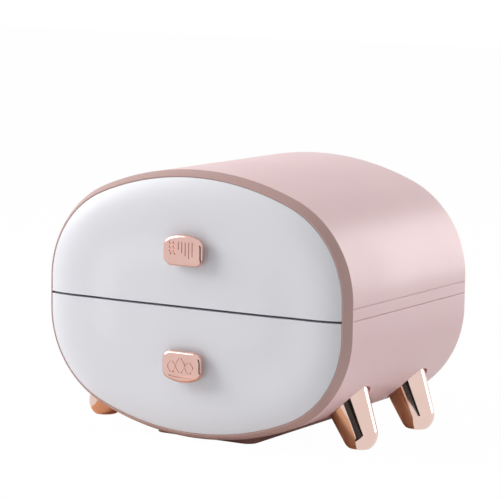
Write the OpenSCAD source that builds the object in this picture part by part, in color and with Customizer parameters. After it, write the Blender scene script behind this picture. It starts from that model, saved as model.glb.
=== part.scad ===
// Oval two-drawer makeup storage case on four splayed legs.
// Body coordinates: X to the right, Y to the back from the rim's front plane,
// Z up from the middle of the oval. place() moves them to the table's frame.

/* [Body] */
// Width of the body, side to side
body_w = 300; // [290:1:315]
// Height of the body's oval
body_h = 229; // [225:1:238]
// Depth of the body, from the rim to the rear face
body_depth = 218; // [208:1:235]
// Height of the straight stretch on each side
side_flat = 26; // [20:1:30]
// Thickness of the shell walls
shell_t = 3; // [2.6:0.1:3.4]
// Rounding of the shells' rear edge
rear_round = 8; // [5:0.5:9]
// Height of the belly above the table
belly_gap = 1.9; // [1.5:0.1:3]

/* [Rim] */
// Width of the rim's sloping face, seen from the front
slope_w = 4.6; // [4:0.1:5.5]
// Depth of the rim's sloping face
slope_depth = 8.2; // [7:0.1:9.5]
// Flat land between the slope and the drawer opening
rim_land = 1.2; // [0.8:0.1:2]
// Depth of the whole rim, with its tongue inside the shells
rim_depth = 16.5; // [15:0.5:20]
// How far the rim's stop ledge stands into the opening
ledge_w = 4.2; // [3:0.1:5]

/* [Shelf] */
// Height of the band that shows between the shells
band_h = 10.8; // [9:0.2:13]
// Thickness of the shelf plate
shelf_t = 2.5; // [2:0.1:3.5]
// How far the drawer split lies below the oval's middle
split_drop = 0.6; // [0:0.1:2]

/* [Back panel] */
// Thickness of the back panel
back_t = 3; // [2:0.1:4]
// Distance of the back panel's edge inside the oval
back_inset = 9.4; // [9.2:0.1:11]
// Width of the flange that the back panel rests on
flange_w = 6; // [5.5:0.1:7]
// Thickness of that flange
flange_t = 3; // [2:0.1:4]
// Edge left on the back panel beside its screw heads
back_screw_edge = 1; // [0.6:0.1:1.6]

/* [Drawer fronts] */
// Gap between the two drawer fronts
split_gap = 2; // [1.2:0.1:3]
// How far the fronts' middle stands out of the rim
crown = 7.3; // [6:0.1:9]
// How far the fronts' shoulder stands out of the rim
shoulder = 5.7; // [4.5:0.1:5.9]
// Width of the roll from the shoulder to the edge
roll_w = 42; // [30:1:46]
// How far the fronts' edge stands out of the rim
edge_out = 1; // [0.4:0.1:2]
// Thickness of the fronts' skin and skirt
skin = 3; // [2.4:0.1:3.4]
// Depth of the fronts' rear plane behind the rim's plane
front_rear = 10; // [8.5:0.1:11]

/* [Trays] */
// Wall thickness of the trays
tray_t = 2.2; // [1.8:0.1:3]
// Room between the trays and the body's rear face
tray_rear_room = 22; // [20:1:33]
// Distance of the upper tray's sides inside the body's sides
upper_tray_side = 33; // [32:1:37]
// Distance of the upper tray's rim below the body's top
upper_tray_drop = 49; // [48:1:59]
// Height of the lower tray's flat underside above the belly
lower_tray_lift = 22.8; // [21:0.2:30]
// Length of the shoes that run in the guide rails
shoe_len = 36; // [30:1:50]

/* [Guide rails] */
// Width of a guide rail
rail_w = 14; // [12:0.5:16]
// Thickness of a guide rail's floor
rail_floor = 2; // [1.6:0.1:3]
// Height of a guide rail's lips above its floor
lip_h = 3; // [2.5:0.1:4]
// Thickness of a guide rail's lips and end stop
lip_t = 2; // [1.6:0.1:2.6]
// Distance of the upper rails from the middle
upper_rail_x = 95; // [80:1:100]
// Distance of the lower rails from the middle
lower_rail_x = 57; // [50:1:60]
// Radius of the pegs that locate a rail
peg_r = 2.5; // [2:0.1:3]
// Length of those pegs
peg_len = 2.2; // [1.8:0.1:2.4]

/* [Knobs] */
// Width of a knob
knob_w = 38.6; // [34:0.2:44]
// Height of a knob
knob_h = 26.8; // [24:0.2:30]
// Thickness of a knob's plate
knob_t = 6; // [5:0.1:8]
// Height of the straight stretch on a knob's arched half
knob_flat = 3.2; // [2.6:0.1:4]
// Length of a knob's neck from the fronts' crown
knob_neck = 4.1; // [3:0.1:6]
// Radius of the two rounds that make the neck
neck_r = 6.5; // [5.5:0.1:7]
// Distance of the knob's middle from the drawer split
knob_rise = 49.3; // [44:0.1:54]
// Distance between a knob's two screws
knob_screw_gap = 14; // [12:0.5:16]

/* [Legs] */
// Distance of a leg's tip from the middle
leg_x = 129.4; // [124:0.2:132]
// Distance of the front legs from the rim
leg_front_y = 62; // [50:1:75]
// Distance of the rear legs from the rim
leg_rear_y = 166; // [150:1:172]
// Outward lean of a leg
leg_splay = 24.8; // [20:0.2:28]
// Taper of a leg's side against its own axis
leg_taper = 7.8; // [5:0.2:10]
// Radius of a leg's round tip
leg_tip_r = 15; // [13:0.2:17]
// Height of the tip's centre above the table
leg_tip_h = 11.8; // [10:0.1:12.6]
// Wall thickness of a hollow leg
leg_t = 2.6; // [2:0.1:3.5]
// Depth of the socket that a leg sits in
socket_depth = 4; // [3:0.1:4.5]
// Thickness of the socket's floor
socket_floor = 3.4; // [2.5:0.1:3.6]
// Gap between a leg and its socket's rim
socket_gap = 1; // [0.6:0.1:1.4]

/* [Base pad] */
// Width of the base pad
pad_w = 98; // [90:1:104]
// Length of the base pad, front to back
pad_len = 180; // [150:1:190]
// Distance of the pad's front edge from the rim
pad_front = 19; // [15:1:24]
// Radius of the pad's corners in plan
pad_corner = 9; // [6:0.5:14]

/* [Screws] */
// Radius of the screw shanks
screw_r = 1.5; // [1.3:0.1:1.7]
// Radius of the screw heads
head_r = 2.8; // [2.5:0.1:3]
// Height of the screw heads
head_h = 1.8; // [1.5:0.1:2.2]
// Radius of the bosses that take a screw
boss_r = 4; // [3.6:0.1:4.4]

/* [Clearances] */
// Gap between a drawer front and the rim around it
front_gap = 0.5; // [0.4:0.1:0.8]
// Gap behind a closed drawer front
stop_gap = 0.3; // [0.25:0.05:0.6]
// Running gap between a shoe and its rail
run_gap = 0.3; // [0.25:0.05:0.5]
// Gap between the lower tray and the rim's ledge
tray_gap = 1.5; // [1:0.1:2]
// Fitting gap between parts that are fixed together
fit_gap = 0.2; // [0.1:0.05:0.3]
// Gap around a shank where it passes freely
pass_gap = 0.3; // [0.2:0.05:0.5]
// Gap between a shank and the pilot hole it bites into
bite_gap = 0.05; // [0.02:0.01:0.08]

/* [Hidden] */
$fn = 96;

pink = [0.86, 0.76, 0.76];
rose = [0.74, 0.60, 0.59];
white = [0.91, 0.91, 0.93];
rose_gold = [0.80, 0.58, 0.49];
tray_white = [0.93, 0.92, 0.91];
steel = [0.70, 0.70, 0.72];

// The oval: four corner arcs joined by large arcs above and below, straight at the sides.
// A corner's middle lies 5 parts across and 12 parts up from its arch's middle, so 13 parts away,
// which makes every size of the arcs a short number and the joins exact
half_w = body_w / 2;
half_h = body_h / 2;
corner_z = side_flat / 2;
part = (half_w - half_h + corner_z) / 4;
corner_x = 5 * part;
corner_r = half_w - corner_x;
arch_r = corner_r + 13 * part;
arch_z = half_h - arch_r;
far = 5;
join_x = far * corner_x;
join_z = arch_z + far * 12 * part;

// Levels and depths in body coordinates
table_z = -half_h - belly_gap;
split_z = -split_drop;
band_top = split_z + band_h;
plate_low = band_top - shelf_t;
opening_inset = slope_w + rim_land;
ledge_inset = opening_inset + ledge_w;
stop_y = front_rear + stop_gap;
flange_y = body_depth - back_t;
flange_front_y = flange_y - flange_t;
flange_inset = back_inset + flange_w;
shelf_y = rim_depth + fit_gap;

// Drawer fronts: the crown is swept down to core_r from the corner arcs' middles
core_r = 8;
front_inset = opening_inset + front_gap;
roll_inset = front_inset + roll_w;
core_inset = corner_r - core_r;
roll_drop = shoulder - edge_out;
roll_steps = 8;

// Trays and rails
tray_end = body_depth - tray_rear_room;
tray_len = tray_end - front_rear;
upper_tray_w = 2 * (half_w - upper_tray_side);
shoe_y = tray_end - shoe_len;
rail_y = rim_depth + 2 * fit_gap;
rail_len = flange_front_y - 2 * fit_gap - rail_y;
peg_end = 20;
upper_rail_z = band_top;
upper_floor_z = upper_rail_z + rail_floor + lip_h + run_gap;
upper_tray_h = half_h - upper_tray_drop - upper_floor_z;
lower_rim_z = split_z - split_gap - tray_t / 2;
lower_floor_z = lower_tray_lift - half_h;
lower_rail_z = lower_floor_z - run_gap - lip_h - rail_floor;
shoe_w = rail_w - 2 * lip_t - 2 * run_gap;
shoe_h = lip_h;
lower_tray_inset = ledge_inset + tray_gap;

// Screws: where they stand and how long they are
screw_len = 9;
pilot_r = screw_r + bite_gap;
pass_r = screw_r + pass_gap;
cross_w = 0.8;
cut = 1;
hole_spare = 2;
upper_screw_front = 48;
upper_screw_rear = 40;
upper_screw_y = [upper_screw_front, body_depth - upper_screw_rear];
lower_screw_front = 62;
lower_screw_rear = 54;
lower_screw_y = [lower_screw_front, body_depth - lower_screw_rear];
upper_boss_x = half_w - 20;
upper_boss_h = 16;
lower_boss_r = 3.6;
boss_clear = 0.5;
lower_boss_x = half_w - lower_tray_inset + boss_clear + lower_boss_r;
lower_boss_h = 20;
lower_hole_floor = 3;
back_screw_inset = back_inset + back_screw_edge + head_r;
back_screw_turn = 35;
back_boss_len = 8;
pad_screw_side = 8;
pad_screw_end = 16;
pad_screw_x = pad_w / 2 - pad_screw_side;
pad_screw_y = [pad_front + pad_screw_end, pad_front + pad_len - pad_screw_end];
pad_head_up = 1;
front_screw_side = 32;
front_screw_x = upper_tray_w / 2 - front_screw_side;
lower_screw_in = 28;
upper_screw_low = 11;
upper_screw_high = 9;
lower_screw_high = 11;
lower_screw_low = 14;
knob_seat = 3;
knob_screw_len = 12;
pad_boss_len = 15;
knob_part = (knob_w / 2 - knob_h / 2 + knob_flat) / 4;
knob_front_y = -crown - knob_neck - knob_t;
upper_knob_z = split_z + knob_rise;
lower_knob_z = split_z - knob_rise;

// Legs: the axis meets the socket's floor at leg_seat
leg_tip = [leg_x, table_z + leg_tip_h];
leg_axis = [-sin(leg_splay), cos(leg_splay)];
leg_from_corner = [leg_tip[0] - corner_x, leg_tip[1] + corner_z];
leg_along = leg_from_corner * leg_axis;
socket_r = corner_r - socket_depth;
leg_run = -leg_along - sqrt(pow(leg_along, 2) - leg_from_corner * leg_from_corner + pow(socket_r, 2));
leg_seat = leg_tip + leg_run * leg_axis;
leg_seat_angle = atan2(-leg_seat[1] - corner_z, leg_seat[0] - corner_x);
leg_spare = 34;
leg_reach = leg_run + leg_spare;
leg_boss_len = 14;
leg_hole_floor = 3;
leg_screw_sink = 0.15;
leg_screw_level = socket_floor - leg_screw_sink;

// The frame's origin: on the table, in the middle of the whole case's box
place_y = -(body_depth + knob_front_y) / 2;
place_z = -table_z;

module place() {
  translate([0, place_y, place_z]) children();
}

// Turns outline coordinates (X right, Y up, Z to the back) into body coordinates
module stand() {
  mirror([0, 1, 0]) rotate([90, 0, 0]) children();
}

// Points an upright shape's top to the back
module face_back() {
  rotate([-90, 0, 0]) children();
}

module both_sides() {
  for (side = [0, 1]) mirror([side, 0, 0]) children();
}

// Where a corner arc applies: beyond the corner's middle, up to its join with the arch
module corner_wedge() {
  polygon([[corner_x, corner_z], [join_x, corner_z], [join_x, join_z]]);
}

// Where an arch applies: between its joins with the two corners
module arch_wedge() {
  polygon([[-corner_x, corner_z], [corner_x, corner_z], [join_x, join_z], [-join_x, join_z]]);
}

// The oval drawn in by inset
module oval(inset) {
  for (low = [0, 1]) mirror([0, low]) {
    intersection() {
      translate([0, arch_z]) circle(r = arch_r - inset, $fn = 240);
      arch_wedge();
    }
    for (side = [0, 1]) mirror([side, 0]) intersection() {
      translate([corner_x, corner_z]) circle(r = corner_r - inset);
      corner_wedge();
    }
  }
  translate([inset - half_w, -corner_z]) square([body_w - 2 * inset, side_flat]);
}

// A block with the oval's outline between two depths
module oval_block(inset, from_y, to_y) {
  translate([0, from_y, 0]) stand() linear_extrude(height = to_y - from_y) oval(inset);
}

// Carries a flat profile round one arch of the oval
module sweep_arch() {
  intersection() {
    translate([0, arch_z, 0]) rotate_extrude($fn = 240) translate([arch_r, 0]) children();
    translate([0, 0, -half_w]) linear_extrude(height = body_w + body_depth) arch_wedge();
  }
}

// Carries it round one corner and down the straight side to a level near the middle
module sweep_corner(low_z = 0) {
  intersection() {
    translate([corner_x, corner_z, 0]) rotate_extrude() translate([corner_r, 0]) children();
    translate([0, 0, -half_w]) linear_extrude(height = body_w + body_depth) corner_wedge();
  }
  translate([half_w, corner_z, 0]) rotate([90, 0, 0])
    linear_extrude(height = corner_z - low_z) children();
}

// Carries it round the whole oval: its X is the offset outwards, its Y the depth
module sweep_oval() {
  stand() for (low = [0, 1]) mirror([0, low, 0]) {
    sweep_arch() children();
    sweep_corner() children();
    mirror([1, 0, 0]) sweep_corner() children();
  }
}

// A box right across the body between two levels
module slab(low_z, high_z) {
  translate([-body_w, -body_depth, low_z]) cube([2 * body_w, 3 * body_depth, high_z - low_z]);
}

// A screw with its head's underside at the origin and its shank below
module screw(length) {
  difference() {
    cylinder(h = head_h, r = head_r, $fn = 40);
    for (turn = [0, 90]) rotate([0, 0, turn]) translate([-head_r * 0.6, -cross_w / 2, head_h / 2])
      cube([head_r * 1.2, cross_w, head_h]);
  }
  translate([0, 0, -length]) cylinder(h = length, r = screw_r, $fn = 40);
}

module pilot_hole(length) {
  translate([0, 0, -length - cut]) cylinder(h = length + cut, r = pilot_r, $fn = 40);
}

module pass_hole(length) {
  translate([0, 0, -length]) cylinder(h = 2 * length, r = pass_r, $fn = 40);
}

// Screw places
module at_upper_shell_screws() {
  both_sides() for (y = upper_screw_y)
    translate([upper_boss_x, y, plate_low]) rotate([180, 0, 0]) children();
}

module at_lower_shell_screws() {
  both_sides() for (y = lower_screw_y) translate([lower_boss_x, y, band_top]) children();
}

module at_back_screws(level) {
  side_x = (corner_r - back_screw_inset) * cos(back_screw_turn);
  side_z = (corner_r - back_screw_inset) * sin(back_screw_turn);
  for (high = [1, -1]) {
    if (level * high >= 0) {
      translate([0, body_depth, high * (half_h - back_screw_inset)]) face_back() children();
      both_sides()
        translate([corner_x + side_x, body_depth, high * (corner_z + side_z)]) face_back() children();
    }
  }
}

module at_pad_screws() {
  head_top = table_z + pad_head_up + head_h;
  both_sides() for (y = pad_screw_y) translate([pad_screw_x, y, head_top]) rotate([180, 0, 0]) children();
}

module at_front_screws(places) {
  both_sides() for (place = places)
    translate([place[0], front_rear + tray_t, place[1]]) face_back() children();
}

module at_knob_screws(knob_z) {
  both_sides() translate([knob_screw_gap / 2, knob_seat - crown + skin, knob_z]) face_back() children();
}

upper_front_places = [
  [front_screw_x, upper_floor_z + upper_screw_low],
  [front_screw_x, upper_floor_z + upper_tray_h - upper_screw_high]
];
lower_front_places = [
  [front_screw_x, lower_rim_z - lower_screw_high],
  [front_screw_x - lower_screw_in, lower_floor_z + lower_screw_low]
];

// Front rim: sloping face, drawer stop ledge and a tongue that plugs into the shells
module front_bezel() {
  tongue = shell_t + fit_gap;
  color(rose) place() sweep_oval()
    polygon([
      [0, slope_depth], [-slope_w, 0], [-opening_inset, 0], [-opening_inset, stop_y],
      [-ledge_inset, stop_y], [-ledge_inset, rim_depth], [-tongue, rim_depth], [-tongue, slope_depth]
    ]);
}

// Wall of the shells and the band, with the rounded rear edge and the back panel's flange
module shell_profile() {
  difference() {
    polygon([
      [0, slope_depth], [0, body_depth], [-back_inset + fit_gap, body_depth],
      [-back_inset + fit_gap, flange_y], [-flange_inset, flange_y], [-flange_inset, flange_front_y],
      [-shell_t, flange_front_y], [-shell_t, slope_depth]
    ]);
    translate([-rear_round, body_depth - rear_round]) difference() {
      square([rear_round + cut, rear_round + cut]);
      circle(r = rear_round);
    }
  }
}

module shell_part(low_z, high_z) {
  intersection() {
    sweep_oval() shell_profile();
    slab(low_z, high_z);
  }
}

module back_bosses(level) {
  at_back_screws(level) translate([0, 0, -back_t - flange_t - back_boss_len])
    cylinder(h = back_boss_len + flange_t / 2, r = boss_r);
}

// Upper half of the casing, with screw bosses gusseted to its sides
module upper_shell() {
  color(pink) place() difference() {
    union() {
      shell_part(band_top, half_h + cut);
      intersection() {
        oval_block(shell_t / 2, shelf_y, body_depth - back_t - flange_t / 2);
        slab(band_top, half_h);
        union() {
          at_upper_shell_screws() translate([0, 0, -upper_boss_h - shelf_t])
            cylinder(h = upper_boss_h, r = boss_r);
          both_sides() for (y = upper_screw_y)
            translate([upper_boss_x, y - shell_t / 2, band_top]) cube([half_w, shell_t, upper_boss_h]);
          back_bosses(1);
        }
      }
    }
    at_upper_shell_screws() pilot_hole(screw_len + shelf_t + hole_spare);
    at_back_screws(1) pilot_hole(back_t + screw_len);
  }
}

// Partition between the drawers: its edge is the band between the shells
module mid_shelf() {
  beam_x = half_w - ledge_inset - fit_gap;
  color(pink) place() difference() {
    union() {
      shell_part(split_z, band_top);
      intersection() {
        oval_block(shell_t / 2, shelf_y, flange_y - flange_t / 2);
        slab(plate_low, band_top);
      }
      translate([-beam_x, stop_y, split_z]) cube([2 * beam_x, shelf_y + shell_t - stop_y, band_h]);
    }
    at_upper_shell_screws() pass_hole(band_h);
    at_lower_shell_screws() pass_hole(band_h / 2);
    rail_holes(upper_rail_x, upper_rail_z);
  }
}

// Lower half of the casing, with the leg sockets, bosses and rail seats
module lower_shell() {
  color(pink) place() difference() {
    union() {
      shell_part(-half_h - cut, split_z);
      intersection() {
        oval_block(shell_t / 2, shelf_y, body_depth - back_t - flange_t / 2);
        slab(-half_h, split_z);
        union() {
          at_lower_shell_screws() translate([0, 0, -band_h - lower_boss_h]) {
            cylinder(h = lower_boss_h, r = lower_boss_r);
            translate([0, -lower_boss_r, 0]) cube([half_w, 2 * lower_boss_r, lower_boss_h]);
          }
          at_pad_screws() translate([0, 0, -pad_boss_len]) cylinder(h = pad_boss_len, r = boss_r);
          back_bosses(-1);
          all_legs() difference() {
            leg_frame() leg_cone(socket_gap + shell_t);
            oval_block(socket_depth + socket_floor, -body_depth, body_depth);
          }
        }
      }
    }
    all_legs() difference() {
      leg_frame() leg_cone(socket_gap);
      leg_seat_block();
    }
    all_legs() leg_seat_frame() {
      pass_hole(socket_depth + socket_floor);
      translate([0, 0, leg_screw_level]) cylinder(h = 2 * head_h, r = head_r + fit_gap, $fn = 40);
    }
    at_lower_shell_screws() pilot_hole(band_h + lower_boss_h - lower_hole_floor);
    at_pad_screws() pilot_hole(screw_len);
    at_back_screws(-1) pilot_hole(back_t + screw_len);
    intersection() {
      both_sides() for (y = rail_peg_y)
        translate([lower_rail_x, y, -half_h]) cylinder(h = half_h, r = peg_r + bite_gap, $fn = 40);
      oval_block(shell_t - peg_len, 0, body_depth);
    }
  }
}

module back_panel() {
  color(pink) place() difference() {
    oval_block(back_inset, flange_y, body_depth);
    at_back_screws(0) pass_hole(body_depth / 4);
    at_back_screws(0) translate([0, 0, -head_h]) cylinder(h = 2 * head_h, r = head_r + fit_gap, $fn = 40);
  }
}

// Soft pad under the curved belly, flat where it meets the table
module base_pad() {
  color(rose) place() difference() {
    translate([0, pad_front, table_z]) linear_extrude(height = half_h / 3) pad_outline();
    oval_block(0, 0, body_depth);
    at_pad_screws() pass_hole(half_h);
    at_pad_screws() cylinder(h = half_h, r = head_r + fit_gap, $fn = 40);
  }
}

module pad_outline() {
  reach = pad_w / 2 - pad_corner;
  both_sides() for (y = [pad_corner, pad_len - pad_corner]) translate([reach, y]) circle(r = pad_corner);
  translate([-reach, 0]) square([2 * reach, pad_len]);
  translate([-pad_w / 2, pad_corner]) square([pad_w, pad_len - 2 * pad_corner]);
}

// One leg's own frame: the tip's centre at the origin, the axis up and inwards
module leg_frame() {
  translate([leg_tip[0], 0, leg_tip[1]]) rotate([0, -leg_splay, 0]) children();
}

// The middle of the socket's floor, with Z pointing square into the case
module leg_seat_frame() {
  translate([leg_seat[0], 0, leg_seat[1]]) rotate([0, leg_seat_angle - 90, 0]) children();
}

// All that lies beyond the socket's flat floor
module leg_seat_block() {
  leg_seat_frame() translate([-leg_reach, -leg_reach, 0]) cube(2 * leg_reach);
}

module one_leg(side, y) {
  mirror([side, 0, 0]) translate([0, y, 0]) children();
}

module all_legs() {
  for (side = [0, 1], y = [leg_front_y, leg_rear_y]) one_leg(side, y) children();
}

// A cone with a round tip, grown by a distance on every side
module leg_cone(grow) {
  tip_r = leg_tip_r + grow;
  side_x = tip_r * cos(leg_taper);
  side_z = -tip_r * sin(leg_taper);
  top_x = side_x + leg_reach * tan(leg_taper);
  rotate_extrude() intersection() {
    union() {
      circle(r = tip_r);
      polygon([[0, 0], [side_x, side_z], [top_x, side_z + leg_reach], [0, side_z + leg_reach]]);
    }
    translate([0, -2 * tip_r]) square([4 * tip_r, leg_reach + 4 * tip_r]);
  }
}

// Hollow leg, cut flat at the table and at the socket's floor
module leg(side, y) {
  hollow_r = leg_tip_r - leg_t;
  color(rose_gold) place() one_leg(side, y) difference() {
    intersection() {
      union() {
        leg_frame() difference() {
          leg_cone(0);
          cylinder(h = leg_reach, r1 = hollow_r, r2 = hollow_r + leg_reach * tan(leg_taper));
        }
        intersection() {
          leg_frame() leg_cone(-leg_t / 2);
          union() {
            leg_seat_frame() translate([0, 0, -leg_boss_len])
              cylinder(h = leg_boss_len + socket_depth, r = boss_r);
            leg_frame() translate([-leg_reach, -leg_t / 2, 0]) cube([2 * leg_reach, leg_t, leg_reach]);
          }
        }
      }
      slab(table_z, split_z);
    }
    leg_seat_block();
    leg_seat_frame() pilot_hole(leg_boss_len - leg_hole_floor);
  }
}

// Guide rail: a channel with a stop at its front end and pegs below
rail_peg_y = [rail_y + peg_end, rail_y + rail_len - peg_end];

module rail_channel(low_z, rail_z) {
  difference() {
    translate([-rail_w / 2, rail_y, low_z]) cube([rail_w, rail_len, rail_z + rail_floor + lip_h - low_z]);
    translate([-rail_w / 2 + lip_t, rail_y + lip_t, rail_z + rail_floor])
      cube([rail_w - 2 * lip_t, rail_len, 2 * lip_h]);
  }
}

module rail_holes(rail_x, rail_z) {
  both_sides() for (y = rail_peg_y) translate([rail_x, y, rail_z - peg_len - shelf_t])
    cylinder(h = 2 * peg_len + shelf_t, r = peg_r + bite_gap, $fn = 40);
}

module upper_rail(side) {
  color(tray_white) place() mirror([side, 0, 0]) translate([upper_rail_x, 0, 0]) {
    rail_channel(upper_rail_z, upper_rail_z);
    for (y = rail_peg_y) translate([0, y, upper_rail_z - peg_len])
      cylinder(h = peg_len + rail_floor / 2, r = peg_r, $fn = 40);
  }
}

// The lower rail's underside follows the belly
module lower_rail(side) {
  color(tray_white) place() mirror([side, 0, 0]) {
    intersection() {
      translate([lower_rail_x, 0, 0]) rail_channel(-half_h, lower_rail_z);
      oval_block(shell_t, 0, body_depth);
    }
    intersection() {
      for (y = rail_peg_y) translate([lower_rail_x, y, -half_h])
        cylinder(h = lower_rail_z + half_h + rail_floor / 2, r = peg_r, $fn = 40);
      oval_block(shell_t - peg_len, 0, body_depth);
    }
  }
}

// Depth of the fronts' roll at a share of its width: a parabola from the shoulder to the edge
function roll_depth(share) = roll_drop * pow(share, 2) - shoulder;

// Profile of the crowned fronts from the edge inwards; depth thins it for the hollow back
module crown_profile(depth, rear, inner) {
  shares = [for (step = [0:roll_steps]) (1 - depth / roll_w) * step / roll_steps];
  polygon(concat(
    [for (share = shares) [roll_w * share - roll_inset, depth + roll_depth(share)]],
    [[-front_inset - depth, rear], [-inner, rear], [-inner, depth - crown], [-core_inset, depth - crown]]
  ));
}

// Upper half of the crowned form, from a level near the middle up
module crown_half(depth, rear, low_z) {
  stand() {
    sweep_arch() crown_profile(depth, rear, half_h + far);
    both_sides() sweep_corner(low_z) crown_profile(depth, rear, corner_r);
    translate([-corner_x, low_z, depth - crown])
      cube([2 * corner_x, corner_z - low_z, rear + crown - depth]);
  }
}

// Crowned front with a hollow back, bosses for its tray and a shallow seat for the knob's neck;
// made above the middle, from its edge at the split, and turned over for the lower drawer
module drawer_front(split_edge, knob_up, places) {
  difference() {
    crown_half(0, front_rear, split_edge);
    difference() {
      crown_half(skin, front_rear + skin, split_edge + skin);
      at_front_screws(places) translate([0, 0, -2 * front_rear])
        cylinder(h = 3 * front_rear, r = boss_r);
      at_knob_screws(knob_up) translate([0, 0, -front_rear]) cylinder(h = front_rear, r = boss_r);
    }
    at_front_screws(places) pilot_hole(screw_len);
    at_knob_screws(knob_up) pass_hole(2 * front_rear);
    translate([0, 0, knob_up]) neck(fit_gap);
  }
}

// Neck of a knob, from inside its plate to its flat foot in the front
module neck(grow) {
  from_y = knob_front_y + knob_t / 2;
  neck_len = -shoulder - from_y;
  translate([0, from_y, 0]) {
    both_sides() translate([knob_screw_gap / 2, 0, 0]) face_back()
      cylinder(h = neck_len, r = neck_r + grow);
    translate([-knob_screw_gap / 2, 0, -neck_r - grow])
      cube([knob_screw_gap, neck_len, 2 * (neck_r + grow)]);
  }
}

module upper_drawer_front() {
  color(white) place() drawer_front(split_z + split_gap / 2, upper_knob_z, upper_front_places);
}

module lower_drawer_front() {
  upside_down = [for (place = lower_front_places) [place[0], -place[1]]];
  color(white) place() mirror([0, 0, 1])
    drawer_front(split_gap / 2 - split_z, -lower_knob_z, upside_down);
}

// Open box with two shoes under its rear end
module upper_drawer_tray() {
  inner_w = upper_tray_w - 2 * tray_t;
  color(tray_white) place() {
    difference() {
      translate([-upper_tray_w / 2, front_rear, upper_floor_z])
        cube([upper_tray_w, tray_len, upper_tray_h]);
      translate([-inner_w / 2, front_rear + tray_t, upper_floor_z + tray_t])
        cube([inner_w, tray_len - 2 * tray_t, upper_tray_h]);
      at_front_screws(upper_front_places) pass_hole(2 * tray_t);
    }
    tray_shoes(upper_rail_x, upper_floor_z);
  }
}

module tray_shoes(rail_x, floor_z) {
  both_sides() translate([rail_x - shoe_w / 2, shoe_y, floor_z - shoe_h])
    cube([shoe_w, shoe_len, shoe_h + tray_t / 2]);
}

// Deep tray whose sides follow the oval down to a flat floor
module lower_drawer_tray() {
  color(tray_white) place() {
    difference() {
      intersection() {
        oval_block(lower_tray_inset, front_rear, tray_end);
        slab(lower_floor_z, lower_rim_z);
      }
      intersection() {
        oval_block(lower_tray_inset + tray_t, front_rear + tray_t, tray_end - tray_t);
        slab(lower_floor_z + tray_t, half_h);
      }
      at_front_screws(lower_front_places) pass_hole(2 * tray_t);
    }
    tray_shoes(lower_rail_x, lower_floor_z);
  }
}

// Knob outline with its arched edge up, its arcs joined the way the oval's are
module knob_outline() {
  side_x = 5 * knob_part;
  corner = knob_w / 2 - side_x;
  top_r = corner + 13 * knob_part;
  reach_z = knob_flat + 12 * knob_part;
  base_z = corner - knob_h / 2;
  intersection() {
    translate([0, knob_h / 2 - top_r]) circle(r = top_r, $fn = 160);
    polygon([[-side_x, knob_flat], [side_x, knob_flat], [2 * side_x, reach_z], [-2 * side_x, reach_z]]);
  }
  for (side = [0, 1]) mirror([side, 0]) {
    intersection() {
      translate([side_x, knob_flat]) circle(r = corner);
      polygon([[side_x, knob_flat], [2 * side_x, knob_flat], [2 * side_x, reach_z]]);
    }
    intersection() {
      translate([side_x, base_z]) circle(r = corner);
      translate([side_x, -knob_h / 2]) square([corner, corner]);
    }
  }
  translate([-knob_w / 2, base_z]) square([knob_w, knob_flat - base_z]);
  translate([-side_x, -knob_h / 2]) square([2 * side_x, corner]);
}

// Plate and neck of a knob
module knob(knob_z, turn) {
  difference() {
    translate([0, 0, knob_z]) {
      translate([0, knob_front_y, 0]) rotate([0, turn, 0]) stand()
        linear_extrude(height = knob_t) knob_outline();
      neck(0);
    }
    at_knob_screws(knob_z) pilot_hole(knob_screw_len);
  }
}

module upper_knob() {
  color(rose_gold) place() knob(upper_knob_z, 0);
}

module lower_knob() {
  color(rose_gold) place() knob(lower_knob_z, 180);
}

module leg_screws() {
  color(steel) place() all_legs() leg_seat_frame() translate([0, 0, leg_screw_level])
    screw(screw_len + socket_floor);
}

module upper_shell_screws() {
  color(steel) place() at_upper_shell_screws() screw(screw_len + shelf_t);
}

module lower_shell_screws() {
  color(steel) place() at_lower_shell_screws() screw(screw_len + band_h);
}

module back_panel_screws() {
  color(steel) place() at_back_screws(0) translate([0, 0, -head_h]) screw(screw_len);
}

module base_pad_screws() {
  color(steel) place() at_pad_screws() screw(screw_len);
}

module upper_front_screws() {
  color(steel) place() at_front_screws(upper_front_places) screw(screw_len);
}

module lower_front_screws() {
  color(steel) place() at_front_screws(lower_front_places) screw(screw_len);
}

module upper_knob_screws() {
  color(steel) place() at_knob_screws(upper_knob_z) screw(knob_screw_len - hole_spare / 2);
}

module lower_knob_screws() {
  color(steel) place() at_knob_screws(lower_knob_z) screw(knob_screw_len - hole_spare / 2);
}

front_bezel();
upper_shell();
mid_shelf();
lower_shell();
back_panel();
base_pad();
leg(1, leg_front_y);  // front_left_leg
leg(0, leg_front_y);  // front_right_leg
leg(1, leg_rear_y);  // rear_left_leg
leg(0, leg_rear_y);  // rear_right_leg
upper_rail(1);  // upper_left_rail
upper_rail(0);  // upper_right_rail
lower_rail(1);  // lower_left_rail
lower_rail(0);  // lower_right_rail
upper_drawer_front();
upper_drawer_tray();
upper_knob();
lower_drawer_front();
lower_drawer_tray();
lower_knob();
leg_screws();
upper_shell_screws();
lower_shell_screws();
back_panel_screws();
base_pad_screws();
upper_front_screws();
lower_front_screws();
upper_knob_screws();
lower_knob_screws();
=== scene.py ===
import bpy
import bmesh
import math
from mathutils import Vector, Matrix


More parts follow.
